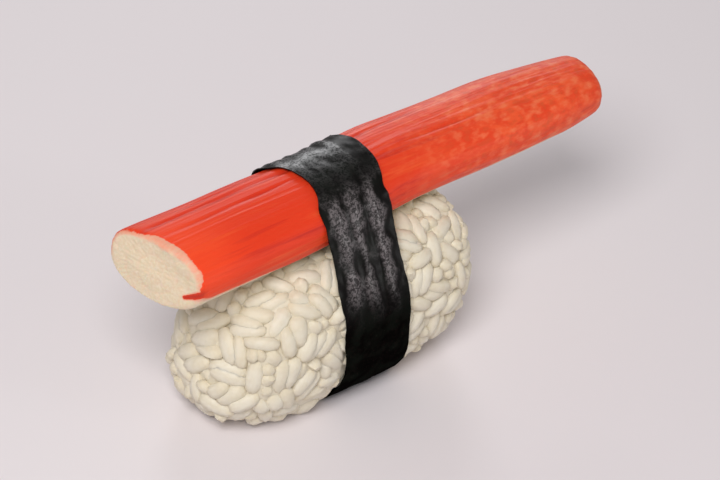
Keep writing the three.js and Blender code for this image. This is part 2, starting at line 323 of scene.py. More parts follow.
@dataclass(frozen=True)
class RiceForm:
    """The pressed block's form under its outer grains: a rounded block, boxier at one end."""

    centre: tuple[float, float] = (-13.452, 0.005)
    half_length: float = 27.9
    half_width: float = 13.7
    half_height: float = 15.05
    foot: float = 1.4
    yaw: float = math.radians(3)
    squareness: float = 2.7
    cut_end_squareness: float = 2.9
    far_end_squareness: float = 4.6
    spread: float = 0.06
    lean: float = 2.6
    lumps: float = 0.025
    grain_depth: float = 1.1  # how far the outer grains stand out
    hollows: tuple[tuple[Place, Place], ...] = (
        ((-38.1, 0.1, 22.0), (-38.5, -6.0, 20.6)),
        ((-34.4, -6.0, 24.2), (-38.5, -6.0, 20.6)),
        ((-38.5, -6.0, 20.6), (-39.8, -10.0, 14.5)),
    )
    hollow_width: float = 2.7
    hollow_depth: float = 1.9

    def hollowed(self, points: np.ndarray) -> np.ndarray:
        """Gives how far the block is drawn in where the hand left shallow hollows between its lobes."""
        runs = [hump(along_and_off(points, *ends)[1], self.hollow_width) for ends in self.hollows]
        return self.hollow_depth * np.max(runs, axis=0)

    def fullness(self, x: np.ndarray, y: np.ndarray, z: np.ndarray) -> np.ndarray:
        """Gives how the hand's lumps and the spread foot widen the block, at shares of its half sizes."""
        lumps = self.lumps * np.sin(4 * x + 2) * np.sin(3 * y + 1) * np.cos(3 * z)
        return 1.0 - self.spread * z + lumps

    def end_squareness(self, x: np.ndarray) -> np.ndarray:
        """Gives how boxy the block is on the side of its middle where X is."""
        return np.where(x < 0, self.cut_end_squareness, self.far_end_squareness)

    def level(self, points: np.ndarray) -> np.ndarray:
        """Tells places inside the block from places outside.

        Args:
            points: Places in millimetres, one row each.

        Returns:
            1 on the block's surface, less inside and more outside.
        """
        x = points[:, 0] - self.centre[0]
        y = points[:, 1] - self.centre[1]
        c, s = math.cos(self.yaw), math.sin(self.yaw)
        x, y = c * x + s * y, c * y - s * x
        z = (points[:, 2] + self.foot) / self.half_height - 1.0
        x = (x - self.lean * z) / self.half_length
        y = y / self.half_width
        size = self.fullness(x, y, z)
        x, y = x / size, y / size
        section = (np.abs(y) ** self.squareness + np.abs(z) ** self.squareness) ** (1 / self.squareness)
        boxy = self.end_squareness(x)
        return (section**boxy + np.abs(x) ** boxy) ** (1 / boxy)

    def surface(self, cube: np.ndarray, inset: float) -> np.ndarray:
        """Moves points of a cube onto the block.

        Args:
            cube: Points on the faces of a cube from -1 to 1.
            inset: How far the block's half sizes are drawn in.

        Returns:
            The same points on the block.
        """
        x, y, z = cube.T
        section = np.abs(y) ** self.squareness + np.abs(z) ** self.squareness
        boxy = self.end_squareness(x)
        reach = (section ** (boxy / self.squareness) + np.abs(x) ** boxy) ** (1 / boxy)
        x, y, z = x / reach, y / reach, z / reach
        size = self.fullness(x, y, z)
        along = x * (self.half_length - inset) * size + self.lean * z
        across = y * (self.half_width - inset) * size
        up = self.half_height - self.foot + z * (self.half_height - inset)
        c, s = math.cos(self.yaw), math.sin(self.yaw)
        x, y = self.centre[0] + c * along - s * across, self.centre[1] + s * along + c * across
        return np.stack([x, y, up], axis=1)


@dataclass(frozen=True)
class StripForm:
    """The nori strip's form: the shortest loop round stick and rice, skewed along the stick's bend."""

    stick: StickForm
    rice: RiceForm
    middle: float = -11.552
    half_width: float = 7.3
    flare: float = 2.2
    sway: float = 1.0
    sway_rate: float = 4.5
    drift: float = 1.2
    drift_start: float = 17.0
    drift_end: float = 5.0
    steady: float = 23.0  # below this Z it doesn't follow the bend
    clearance: float = 0.3
    thickness: float = 0.5
    waist: float = 0.6  # how far it squeezes the rice
    strand: float = 0.08  # how far the stick's strands stand out
    fine_turns: int = 2880
    coarse_turns: int = 180
    loop_steps: int = 4000
    facing_reach: float = 0.9  # over which its outward direction is measured

    @property
    def bound_half_width(self) -> float:
        """Gives half the rice's width where the strip squeezes its grains."""
        return self.rice.half_width + self.rice.grain_depth - self.waist

    def skew(self, x: np.ndarray, z: np.ndarray) -> np.ndarray:
        """Gives how far along Y the strip follows the stick's bend at X and Z."""
        follows = np.clip((z - self.steady) / (self.stick.height - self.steady), 0.0, 1.0)
        return (self.stick.axis(x)[0] - self.stick.axis(np.array(self.middle))[0]) * follows

    def furthest(self, directions: np.ndarray, half: Sequence[float], square: float) -> np.ndarray:
        """Gives the points of a rounded section that reach furthest along some directions.

        Args:
            directions: The directions in the YZ plane.
            half: Half the section's width and height.
            square: How square the section is: 2 is an ellipse.

        Returns:
            Y and Z of each point from the section's middle.
        """
        dual = square / (square - 1)
        half = np.array(half)
        reached = np.abs(half * directions)
        reach = (reached[:, :1] ** dual + reached[:, 1:] ** dual) ** (1 / dual)
        return np.sign(directions) * half * (reached / reach) ** (dual - 1)

    def touched(self, directions: np.ndarray) -> np.ndarray:
        """Gives the points that the tight strip touches where it faces some directions.

        Args:
            directions: Outward directions in the YZ plane.

        Returns:
            Y and Z of each point.
        """
        middle = np.array(self.middle)
        on_stick = self.furthest(directions, self.stick.half_sizes(middle), self.stick.squareness)
        on_stick = on_stick + self.strand * directions
        on_stick += np.array([self.stick.axis(middle)[0], self.stick.height])
        half = (self.bound_half_width, self.rice.half_height)
        centre = np.array([self.rice.centre[1], self.rice.half_height - self.rice.foot])
        foot = self.thickness + self.clearance
        on_rice = self.furthest(directions, half, self.rice.squareness) + centre
        depth = (centre[1] - foot) / half[1]
        foot_half = half[0] * (1 - depth**self.rice.squareness) ** (1 / self.rice.squareness)
        foot_ends = centre[0] + np.sign(directions[:, 0]) * foot_half
        flat = np.stack([foot_ends, np.full_like(foot_ends, foot)], axis=1)
        on_rice = np.where(on_rice[:, 1:] < foot, flat, on_rice)
        higher = (on_stick * directions).sum(axis=1) > (on_rice * directions).sum(axis=1)
        return np.where(higher[:, None], on_stick, on_rice)

    def directions(self, count: int) -> np.ndarray:
        """Gives directions at even angles, starting just past straight down."""
        angle = np.arange(count) / count * 2 * math.pi - math.pi / 2 + 1e-6
        return np.stack([np.cos(angle), np.sin(angle)], axis=1)

    def loop(self) -> tuple[np.ndarray, np.ndarray, float]:
        """Follows the tight loop in even steps from the middle of its level run under the rice.

        Returns:
            The points, the outward directions there, and the loop's length.
        """
        steps = self.loop_steps
        corners = self.touched(self.directions(self.fine_turns))
        corners = np.vstack([corners, corners[:1]])
        run = np.concatenate([[0.0], np.cumsum(np.linalg.norm(np.diff(corners, axis=0), axis=1))])
        length = float(run[-1])
        level_half = corners[0, 0] - self.rice.centre[1]
        at = (np.arange(steps) / steps * length - level_half) % length
        points = read_rows(at, run, corners)
        reach = max(1, round(self.facing_reach / length * steps))
        ahead = np.roll(points, -reach, axis=0) - np.roll(points, reach, axis=0)
        outward = unit(np.stack([ahead[:, 1], -ahead[:, 0]], axis=1))
        return points, outward, length

    def depth(self, points: np.ndarray) -> tuple[np.ndarray, np.ndarray]:
        """Gives how far points lie outside the tight loop.

        Args:
            points: Places in millimetres, one row each.

        Returns:
            The distance of each place, negative inside, and the outward direction there.
        """
        directions = self.directions(self.coarse_turns)
        support = (self.touched(directions) * directions).sum(axis=1)
        level = np.zeros(len(points))
        section = points[:, 1:] - np.stack([self.skew(points[:, 0], points[:, 2]), level], axis=1)
        outside = section @ directions.T - support
        facing = directions[outside.argmax(axis=1)]
        return outside.max(axis=1), np.column_stack([level, facing])

    def middle_line(self, outward_y: np.ndarray, y: np.ndarray, z: np.ndarray) -> np.ndarray:
        """Gives X of the strip's middle, which wanders over the stick and drifts at the near side's foot.

        Args:
            outward_y: Y of the outward direction there.
            y: Y of the place.
            z: Z of the place.

        Returns:
            X of the middle.
        """
        near = smooth((self.rice.centre[1] - y) / self.bound_half_width, 0.0, 1.0)
        drift = self.drift * near * (1.0 - smooth(z, self.drift_end, self.drift_start))
        return self.middle + self.sway * np.cos(self.sway_rate * outward_y) + drift

    def half_across(self, outward_y: np.ndarray) -> np.ndarray:
        """Gives half the strip's width where its outward direction has this Y."""
        return self.half_width + self.flare * np.maximum(0.0, outward_y)

    def beside(self, points: np.ndarray, facing: np.ndarray) -> np.ndarray:
        """Gives how far along X points lie outside the strip's edges, where it faces these directions."""
        middle = self.middle_line(facing[:, 1], points[:, 1], points[:, 2])
        return np.abs(points[:, 0] - middle) - self.half_across(facing[:, 1])


# ---- Modelling by hand --------------------------------------------------------------------------


@dataclass
class Workpiece:
    """One mesh object while it is modelled."""

    piece: bpy.types.Object

    @classmethod
    def started(cls, name: str, primitive: Callable[..., Any], **options: Any) -> "Workpiece":
        """Starts a piece from a primitive.

        Args:
            name: The piece's name.
            primitive: The operator that adds the primitive.
            **options: Its size and place, in metres.

        Returns:
            The new piece, alone in the selection, with its place in its mesh.
        """
        bpy.ops.object.select_all(action="DESELECT")
        primitive(**options)
        piece = bpy.context.active_object
        piece.name = piece.data.name = name
        bpy.ops.object.transform_apply(location=True, rotation=True, scale=True)
        return cls(piece)

    def activate(self) -> None:
        """Selects this piece alone."""
        bpy.ops.object.select_all(action="DESELECT")
        self.piece.select_set(True)
        bpy.context.view_layer.objects.active = self.piece

    def edit(self, operator: Callable[..., Any], **options: Any) -> None:
        """Runs one edit-mode operator on what is selected in the mesh.

        Args:
            operator: The operator.
            **options: Its options.
        """
        self.activate()
        bpy.ops.object.mode_set(mode="EDIT")
        operator(**options)
        bpy.ops.object.mode_set(mode="OBJECT")

    def select(self, rest: bool = False, **chosen: list[bool]) -> None:
        """Selects points, edges and faces.

        Args:
            rest: Whether what isn't named is selected.
            **chosen: Whether each of the mesh's vertices, edges or polygons is selected.
        """
        for kind in ("vertices", "edges", "polygons"):
            parts = getattr(self.piece.data, kind)
            parts.foreach_set("select", chosen.get(kind, [rest] * len(parts)))

    def select_faces(self, test: Callable[[Any], bool]) -> None:
        """Selects the faces for which a test is true."""
        bpy.context.tool_settings.mesh_select_mode = (False, False, True)
        self.select(polygons=[test(face) for face in self.piece.data.polygons])

    def select_edges(self, test: Callable[[Vector, Vector], bool]) -> None:
        """Selects the edges for whose two ends a test is true.

        Args:
            test: Tells from an edge's two ends whether it is wanted.
        """
        bpy.context.tool_settings.mesh_select_mode = (False, True, False)
        mesh = self.piece.data
        ends = ([mesh.vertices[number].co for number in edge.vertices] for edge in mesh.edges)
        self.select(edges=[test(first, last) for first, last in ends])

    def modify(self, kind: str, **settings: Any) -> None:
        """Adds a modifier with its settings and applies it.

        Args:
            kind: The modifier's type.
            **settings: Its settings.
        """
        self.activate()
        modifier = self.piece.modifiers.new(kind.title(), kind)
        for name, value in settings.items():
            setattr(modifier, name, value)
        bpy.ops.object.modifier_apply(modifier=modifier.name)

    def rows(self, parts: Any, name: str) -> np.ndarray:
        """Reads three numbers from each of some parts of the mesh.

        Args:
            parts: The mesh's points, or its directions.
            name: What the three numbers are called there.

        Returns:
            One row for each part.
        """
        flat = np.empty(len(parts) * 3)
        parts.foreach_get(name, flat)
        return flat.reshape(-1, 3)

    def points(self) -> np.ndarray:
        """Gives the mesh's points in millimetres, one row each."""
        return self.rows(self.piece.data.vertices, "co") / MM

    def normals(self) -> np.ndarray:
        """Gives the outward direction at each of the mesh's points."""
        return self.rows(self.piece.data.vertex_normals, "vector")

    def move_to(self, points: np.ndarray) -> None:
        """Moves the mesh's points to new places in millimetres."""
        self.piece.data.vertices.foreach_set("co", (points * MM).ravel())
        self.piece.data.update()

    def paint(self, **values: np.ndarray) -> None:
        """Keeps numbers on the mesh, which a finish can read by their names.

        Args:
            **values: One number for each point, under each name.
        """
        for name, numbers in values.items():
            attribute = self.piece.data.attributes.new(name, "FLOAT", "POINT")
            attribute.data.foreach_set("value", np.asarray(numbers, np.float32))

    def finish(self, node: Node, material: bpy.types.Material) -> None:
        """Smooths and dresses the piece, and lets it stand for its CAD node.

        Args:
            node: The CAD node that the piece replaces.
            material: What the piece is dressed in.
        """
        self.activate()
        bpy.ops.object.shade_smooth_by_angle(angle=SMOOTH_ANGLE)
        self.piece.data.materials.clear()
        self.piece.data.materials.append(material)
        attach(self.piece, "root")
        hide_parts(node.value)


# ---- Shaders ------------------------------------------------------------------------------------

MIX_SHARE, MIX_FIRST, MIX_SECOND, MIX_RESULT = 0, 6, 7, 2  # a Mix node's sockets for colours


class Wire:
    """A number that runs through a shader's nodes. Python's operators on it add Math nodes."""

    def __init__(self, shader: "Shader", socket: bpy.types.NodeSocket) -> None:
        """Wraps an output socket of a shader's node."""
        self.shader = shader
        self.socket = socket

    def sum(self, operation: str, first: Any, second: Any) -> "Wire":
        """Works out two numbers or wires in a Math node."""
        return self.shader.wire("ShaderNodeMath", {"operation": operation}, {0: first, 1: second}, 0)

    def __add__(self, other: Any) -> "Wire":
        """Adds."""
        return self.sum("ADD", self, other)

    __radd__ = __add__

    def __sub__(self, other: Any) -> "Wire":
        """Subtracts."""
        return self.sum("SUBTRACT", self, other)

    def __rsub__(self, other: Any) -> "Wire":
        """Subtracts from a number."""
        return self.sum("SUBTRACT", other, self)

    def __mul__(self, other: Any) -> "Wire":
        """Multiplies."""
        return self.sum("MULTIPLY", self, other)

    __rmul__ = __mul__

    def between(self, low: float, high: float) -> "Wire":
        """Rises smoothly from 0 at one value to 1 at another, and stays there.

        Args:
            low: Where it starts to rise. It may be the larger of the two, and then it falls instead.
            high: Where it is 1.

        Returns:
            The rise.
        """
        settings = {"interpolation_type": "SMOOTHSTEP", "clamp": True}
        inputs = {"Value": self, "From Min": low, "From Max": high}
        return self.shader.wire("ShaderNodeMapRange", settings, inputs, "Result")


class Shader:
    """A material while its nodes are wired."""

    def __init__(self, name: str) -> None:
        """Starts a material with nothing but its output and its surface.

        Args:
            name: The material's name.
        """
        self.material = bpy.data.materials.new(name)
        self.material.use_nodes = True
        self.tree = self.material.node_tree
        self.tree.nodes.clear()
        output = self.node("ShaderNodeOutputMaterial")
        self.surface = self.node("ShaderNodeBsdfPrincipled")
        self.tree.links.new(self.surface.outputs[0], output.inputs["Surface"])
        self.place = self.node("ShaderNodeTexCoord").outputs["Object"]

    def node(
        self, kind: str, settings: dict[str, Any] | None = None, inputs: dict[Any, Any] | None = None
    ) -> Any:
        """Adds a node.

        Args:
            kind: The node's type.
            settings: What is set first, a ramp's stops among them.
            inputs: Its sockets' values, wires or sockets, by name or number.

        Returns:
            The node.
        """
        node = self.tree.nodes.new(kind)
        for name, value in (settings or {}).items():
            if name == "stops":
                self.set_stops(node.color_ramp, value)
            else:
                setattr(node, name, value)
        for key, value in (inputs or {}).items():
            self.feed(node.inputs[key], value)
        return node

    def set_stops(self, ramp: bpy.types.ColorRamp, stops: Sequence[tuple[float, Colour]]) -> None:
        """Gives a ramp its stops.

        Args:
            ramp: The ramp.
            stops: Each stop's place and colour.
        """
        while len(ramp.elements) > 1:
            ramp.elements.remove(ramp.elements[-1])
        ramp.elements[0].position, ramp.elements[0].color = stops[0][0], (*stops[0][1], 1.0)
        for place, colour in stops[1:]:
            ramp.elements.new(place).color = (*colour, 1.0)

    def feed(self, socket: bpy.types.NodeSocket, value: Any) -> None:
        """Gives a socket a number, a colour, a wire or another socket.

        Args:
            socket: The socket that takes it.
            value: What it takes.
        """
        if isinstance(value, Wire):
            self.tree.links.new(value.socket, socket)
        elif isinstance(value, bpy.types.NodeSocket):
            self.tree.links.new(value, socket)
        elif socket.type == "RGBA":
            socket.default_value = (*value, 1.0)
        else:
            socket.default_value = value

    def wire(self, kind: str, settings: dict[str, Any], inputs: dict[Any, Any], output: Any) -> Wire:
        """Adds a node and wraps the output that has this name or number."""
        return Wire(self, self.node(kind, settings, inputs).outputs[output])

    def scaled(self, size: Sequence[float], shift: float = 0.0) -> bpy.types.NodeSocket:
        """Gives the object's coordinates, divided by sizes.

        Args:
            size: What counts as 1 along X, Y and Z, in millimetres.
            shift: Moves the pattern, so that two patterns differ.

        Returns:
            The coordinates.
        """
        scale = [1 / (one * MM) for one in size]
        inputs = {"Vector": self.place, "Scale": scale, "Location": (shift, shift, shift)}
        return self.node("ShaderNodeMapping", {}, inputs).outputs[0]

    def clouds(
        self, size: Sequence[float], detail: float = 3.0, shift: float = 0.0, twist: float = 0.0
    ) -> Wire:
        """Gives a soft random pattern round 0.5, whose forms have a size in millimetres."""
        inputs = {"Vector": self.scaled(size, shift), "Scale": 1.0, "Detail": detail, "Distortion": twist}
        return self.wire("ShaderNodeTexNoise", {"noise_dimensions": "3D"}, inputs, "Fac")

    def cells(self, size: Sequence[float], shift: float = 0.0) -> Wire:
        """Gives the distance to the nearest of many random points, set about a size apart."""
        inputs = {"Vector": self.scaled(size, shift), "Scale": 1.0}
        return self.wire("ShaderNodeTexVoronoi", {"feature": "F1"}, inputs, "Distance")

    def painted(self, name: str) -> Wire:
        """Reads numbers that were kept on the mesh."""
        return self.wire("ShaderNodeAttribute", {"attribute_name": name}, {}, "Fac")

    def mix(self, share: Any, first: Any, second: Any) -> bpy.types.NodeSocket:
        """Mixes two colours.

        Args:
            share: How much of the second there is.
            first: A colour or a socket.
            second: A colour or a socket.

        Returns:
            The mixed colour.
        """
        settings = {"data_type": "RGBA", "blend_type": "MIX", "clamp_factor": True}
        inputs = {MIX_SHARE: share, MIX_FIRST: first, MIX_SECOND: second}
        return self.node("ShaderNodeMix", settings, inputs).outputs[MIX_RESULT]

    def ramp(self, value: Wire, stops: Sequence[tuple[float, Colour]]) -> bpy.types.NodeSocket:
        """Turns a number into a colour by a ramp's stops."""
        return self.node("ShaderNodeValToRGB", {"stops": stops}, {0: value}).outputs[0]

    def bump(
        self, height: Wire, depth: float, under: bpy.types.NodeSocket | None = None
    ) -> bpy.types.NodeSocket:
        """Turns a height from 0 to 1 into relief.

        Args:
            height: The height.
            depth: How deep the relief is, in millimetres.
            under: Relief that this one lies on.

        Returns:
            The bent normal.
        """
        inputs: dict[Any, Any] = {"Height": height, "Distance": depth * MM, "Strength": 1.0}
        if under is not None:
            inputs["Normal"] = under
        return self.node("ShaderNodeBump", {}, inputs).outputs[0]

    def dress(self, **inputs: Any) -> bpy.types.Material:
        """Feeds the surface's sockets.

        Args:
            **inputs: What each socket takes, named with underscores for spaces.

        Returns:
            The material.
        """
        for name, value in inputs.items():
            self.feed(self.surface.inputs[name.replace("_", " ")], value)
        return self.material


# ---- Finishes -----------------------------------------------------------------------------------


@dataclass(frozen=True)
class SurimiFinish:
    """Moist surimi: red in fine strands outside, cream inside and underneath."""

    # painted shade for the lip under the cut face's near corner
    painted_lip_shade: Colour = (0.36, 0.016, 0.014)
    deep: Colour = (0.60, 0.026, 0.014)
    red: Colour = (0.80, 0.050, 0.014)
    orange: Colour = (0.86, 0.100, 0.028)
    faded: Colour = (0.91, 0.115, 0.036)
    thin: Colour = (0.90, 0.22, 0.095)
    dull: Colour = (0.66, 0.095, 0.030)
    bright: Colour = (0.95, 0.080, 0.022)
    blush: Colour = (0.84, 0.38, 0.26)
    cream: Colour = (0.77, 0.63, 0.45)
    pale: Colour = (0.80, 0.68, 0.52)

    def material(self) -> bpy.types.Material:
        """Wires the material.

        Returns:
            The material.
        """
        shader = Shader("surimi")
        fibres = shader.clouds((13.0, 0.45, 0.45), detail=4.0, twist=0.3)
        strands = shader.clouds((30.0, 1.5, 1.5), detail=2.0, shift=3.0)
        bands = shader.clouds((24.0, 4.2, 4.2), detail=2.0, shift=7.0)
        patches = shader.clouds((4.0, 2.0, 2.0), detail=4.0, shift=11.0, twist=0.6)
        mottles = shader.clouds((4.2, 2.6, 2.6), detail=3.0, shift=14.0, twist=0.4)
        specks = shader.clouds((2.2, 1.3, 1.3), detail=2.0, shift=18.0)
        skin = shader.painted("skin")
        crease = shader.painted("crease")
        faded = shader.painted("faded")

        tone = bands.between(0.33, 0.7) * 0.55 + strands.between(0.34, 0.68) * 0.25
        tone = tone + fibres.between(0.3, 0.7) * 0.2
        red = shader.ramp(tone, [(0.0, self.deep), (0.3, self.red), (0.65, self.red), (1.0, self.orange)])
        red = shader.mix(shader.painted("bright") * 0.7, red, self.bright)
        red = shader.mix(crease * 0.6, red, self.deep)
        # Painted shade: the lip under the cut face's near corner is darkened as if in shadow.
        red = shader.mix(shader.painted("lip") * 0.7, red, self.painted_lip_shade)
        red = shader.mix(faded * (mottles.between(0.4, 0.62) * 0.6 + 0.25), red, self.faded)
        red = shader.mix(faded * specks.between(0.44, 0.78) * 0.75, red, self.thin)
        red = shader.mix(faded * specks.between(0.48, 0.3) * 0.5, red, self.dull)

        cream = shader.mix(fibres.between(0.38, 0.64), self.cream, self.pale)
        cream = shader.mix(shader.painted("fold") * 0.12, cream, self.blush)
        edge = skin + (fibres - 0.5) * 0.4 + (patches - 0.5) * 0.3
        inside = shader.mix(edge.between(0.05, 0.46), cream, self.blush)
        colour = shader.mix(edge.between(0.44, 0.6), inside, red)

        relief = shader.bump(fibres * 0.7 + strands * 0.3, 0.07)
        pores = shader.bump(shader.clouds((0.9, 0.22, 0.22), detail=3.0, shift=5.0), 0.03, relief)
        return shader.dress(
            Base_Color=colour,
            Roughness=0.5 - fibres.between(0.3, 0.7) * 0.1,
            Normal=pores,
            Subsurface_Weight=0.3,
            Subsurface_Radius=(1.0, 0.3, 0.18),
            Subsurface_Scale=1.2 * MM,
            Specular_IOR_Level=0.2,
        )


@dataclass(frozen=True)
class NoriFinish:
    """Damp pressed seaweed: near-black green, faintly fibrous, glossier on its crests, with a painted
    sheen that lightens the crests of its near side's upper part in place of reflected light.
    """

    black: Colour = (0.0026, 0.0022, 0.0020)
    green: Colour = (0.0055, 0.0065, 0.0052)
    brown: Colour = (0.0095, 0.0055, 0.0055)
    # painted sheen: the grey that lightens the near side's upper crests in place of reflected light
    dust: Colour = (0.155, 0.136, 0.142)

    def material(self) -> bpy.types.Material:
        """Wires the material.

        Returns:
            The material.
        """
        shader = Shader("nori")
        flecks = shader.clouds((0.6, 0.6, 0.6), detail=5.0, twist=1.2)
        clouds = shader.clouds((4.0, 4.0, 4.0), detail=3.0, shift=4.0)
        grit = shader.cells((0.5, 0.5, 0.5), shift=2.0)
        crest = shader.painted("crest")
        colour = shader.mix(clouds.between(0.4, 0.62), self.black, self.green)
        colour = shader.mix(flecks.between(0.5, 0.7) * 0.6, colour, self.brown)
        glossy = crest.between(0.35, 0.75) * flecks.between(0.35, 0.6)
        shine = shader.painted("shine") * (glossy * 0.7 + 0.3)
        # Painted sheen: the crests on the near side's upper part are lightened towards grey, standing in
        # for reflected light.
        dusty = shader.painted("dusty") * crest.between(0.36, 0.82)
        colour = shader.mix(dusty * (flecks.between(0.42, 0.6) * 0.8 + 0.2), colour, self.dust)
        relief = (flecks * 0.65 + grit * 0.35) * (shader.painted("shine") * 0.7 + 0.3)
        return shader.dress(
            Base_Color=colour,
            Roughness=0.62 - crest.between(0.3, 0.9) * 0.2 - clouds.between(0.4, 0.65) * 0.06,
            Normal=shader.bump(relief, 0.24, shader.bump(clouds, 0.3)),
            Specular_IOR_Level=0.0,
            Coat_Weight=shine,
            Coat_Roughness=0.34,
        )


@dataclass(frozen=True)
class RiceFinish:
    """Cooked rice: warm white, a little see-through, moist."""

    white: Colour = (0.75, 0.685, 0.555)
    chalk: Colour = (0.785, 0.735, 0.625)
    shade: Colour = (0.71, 0.625, 0.46)

    def material(self) -> bpy.types.Material:
        """Wires the material.

        Returns:
            The material.
        """
        shader = Shader("rice")
        tint = shader.painted("tint")
        tip = shader.painted("tip")
        clouds = shader.clouds((1.8, 1.8, 1.8), detail=2.0)
        starch = shader.clouds((0.6, 0.6, 0.6), detail=3.0, shift=6.0)
        colour = shader.mix(tip.between(0.25, 0.95), self.chalk, self.white)
        colour = shader.mix(tint * 0.35 + clouds.between(0.45, 0.7) * 0.25, colour, self.shade)
        return shader.dress(
            Base_Color=colour,
            Roughness=0.46 + starch.between(0.35, 0.7) * 0.14,
            Normal=shader.bump(starch, 0.06, shader.bump(clouds, 0.16)),
            Subsurface_Weight=0.6,
            Subsurface_Radius=(1.0, 1.0, 1.0),
            Subsurface_Scale=0.25 * MM,
            Specular_IOR_Level=0.4,
        )


@dataclass(frozen=True)
class FloorFinish:
    """A plain pale floor."""

    colour: Colour = (0.80, 0.75, 0.785)
    cloud: Colour = (0.76, 0.71, 0.745)

    def material(self) -> bpy.types.Material:
        """Wires the material.

        Returns:
            The material.
        """
        shader = Shader("pale_floor")
        shade = shader.clouds((160.0, 160.0, 160.0), detail=1.0).between(0.3, 0.7) * 0.3
        colour = shader.mix(shade, self.colour, self.cloud)
        return shader.dress(Base_Color=colour, Roughness=0.6)


# ---- The crab stick -----------------------------------------------------------------------------


class End(Enum):
    """The crab stick's two ends, by the side that they face along X."""

    CUT = -1
    FAR = 1


@dataclass(frozen=True)
class BarPoints:
    """Where each point lies on the plain bar that the stick is made from."""

    x: np.ndarray
    turn: np.ndarray  # its share of the way round
    radius: np.ndarray  # its share of the way out
    face: np.ndarray  # -1 on the cut face, 1 on the far face, 0 on the side


@dataclass(frozen=True)
class Crease:
    """A long crease along the stick's top: its Y from the axis, its width, and X where it runs."""

    y: float
    width: float
    start: float
    end: float


@dataclass
class CrabStick:
    """The stick of surimi crab, with strands along it and a fibrous face at each end.

    The red ends on the sides where the outward direction's Z is border, and higher near the cut end.
    """

    form: StickForm
    sides: int = 384
    rings: int = 110
    face_rings: int = 22
    edge_rounding: dict[End, float] = field(default_factory=lambda: {End.CUT: 1.2, End.FAR: 2.2})
    edge_segments: dict[End, int] = field(default_factory=lambda: {End.CUT: 5, End.FAR: 7})
    side_relief: tuple[Layer, ...] = (
        Layer(0.048, (42.0, 1.05, 1.05), 1.0),
        Layer(0.032, (24.0, 0.5, 0.5), 2.0),
        Layer(0.22, (17.0, 9.0, 9.0), 3.0),
    )
    crease_runs: tuple[Crease, ...] = (
        Crease(4.3, 0.5, -50.0, 14.0),
        Crease(1.2, 0.4, -46.0, -16.0),
        Crease(6.3, 0.45, -38.0, 8.0),
        Crease(-2.2, 0.35, 6.0, 24.0),
    )
    crease_depth: float = 0.3
    crease_sway: float = 0.45
    crease_wave: float = 15.0
    crease_fading: float = 4.0
    face_relief: tuple[Layer, ...] = (
        Layer(0.06, (1.0, 0.55, 0.55), 6.0),
        Layer(0.06, (1.0, 1.6, 1.6), 7.0),
        Layer(0.35, (1.0, 5.0, 5.0), 8.0),
    )
    relief_margin: float = 0.8  # from a face's edge, without relief
    roll_pitch: float = 2.3  # from one turn of the roll to the next
    roll_waver: Layer = Layer(0.22, (1.0, 3.2, 3.2), 5.0)
    fold_width: float = 0.13
    fold_depth: float = 0.07
    border: float = -0.56
    border_softness: float = 0.42  # over which red turns to cream
    border_waver: Layer = Layer(0.10, (9.0, 30.0, 30.0), 9.0)
    trim_waver: Layer = Layer(0.25, (50.0, 3.0, 3.0), 12.0)
    skin_depth: float = 0.62
    blush_depth: float = 1.8  # how much deeper the red goes at the far top
    rim: float = 0.36  # how red the cut face's rim is
    lip_run: tuple[tuple[float, float], tuple[float, float]] = ((-9.9, 0.3), (-6.6, -1.7))
    lip_widths: tuple[float, float] = (0.85, 0.35)  # at its root and its tip
    lip_reach: tuple[float, float] = (1.6, 0.6)  # where it starts and is full, from the cut end
    lip_strength: float = 1.1
    faded: tuple[float, float] = (-8.0, 26.0)  # X where the red starts to fade and is faded
    bright_along: tuple[float, float] = (16.0, 3.0)  # from the cut end
    bright_across: tuple[float, float] = (6.0, 0.0)  # Y from the axis

    def build(self) -> Workpiece:
        """Models the stick.

        Returns:
            The finished piece.
        """
        work = self.bar()
        self.shape(work, self.read_bar(work))
        work.finish(Node.CRAB_STICK, SurimiFinish().material())
        return work

    def bar(self) -> Workpiece:
        """Starts from a round bar, works its two end faces and cuts rings into it.

        Returns:
            The bar.
        """
        form = self.form
        work = Workpiece.started(
            "surimi_stick",
            bpy.ops.mesh.primitive_cylinder_add,
            vertices=self.sides,
            radius=form.half_width * MM,
            depth=form.length * MM,
            location=((form.start + form.length / 2) * MM, form.offset * MM, form.height * MM),
            rotation=(0.0, math.pi / 2, 0.0),
            end_fill_type="NGON",
        )
        for end in End:
            self.work_end(work, end)
        most_of_side = 0.8 * (form.length - sum(self.edge_rounding.values())) * MM
        work.select_edges(lambda a, b: abs(a.x - b.x) > most_of_side)
        work.edit(bpy.ops.mesh.subdivide, number_cuts=self.rings)
        return work

    def work_end(self, work: Workpiece, end: End) -> None:
        """Rounds one end's edge and insets its face ring by ring.

        Args:
            work: The bar.
            end: Which end is worked.
        """
        form = self.form
        end_x = (form.start + (form.length if end is End.FAR else 0.0)) * MM
        near = 1e-6
        work.select_edges(lambda a, b: abs(a.x - end_x) < near and abs(b.x - end_x) < near)
        rounding = self.edge_rounding[end]
        segments = self.edge_segments[end]
        work.edit(bpy.ops.mesh.bevel, offset=rounding * MM, segments=segments, affect="EDGES")
        middle = 0.7  # of a ring's width is left inside the last ring
        step = (form.half_width - rounding) / (self.face_rings + middle) * MM
        work.select_faces(lambda face: face.normal.x * end.value > 0.99 and len(face.vertices) > 4)
        for _ in range(self.face_rings):
            work.edit(bpy.ops.mesh.inset, thickness=step)
        work.edit(bpy.ops.mesh.poke)

    def read_bar(self, work: Workpiece) -> BarPoints:
        """Reads where each point lies on the plain bar.

        Args:
            work: The bar.

        Returns:
            Where its points lie.
        """
        form = self.form
        x, y, z = (work.points() - np.array([0.0, form.offset, form.height])).T
        from_cut, from_far = x - form.start, form.length - (x - form.start)
        near = 0.01
        return BarPoints(
            x=x,
            turn=np.mod(np.arctan2(z, y) / (2 * math.pi), 1.0),
            radius=np.hypot(y, z) / form.half_width,
            face=np.where(from_far < near, 1.0, 0.0) - np.where(from_cut < near, 1.0, 0.0),
        )

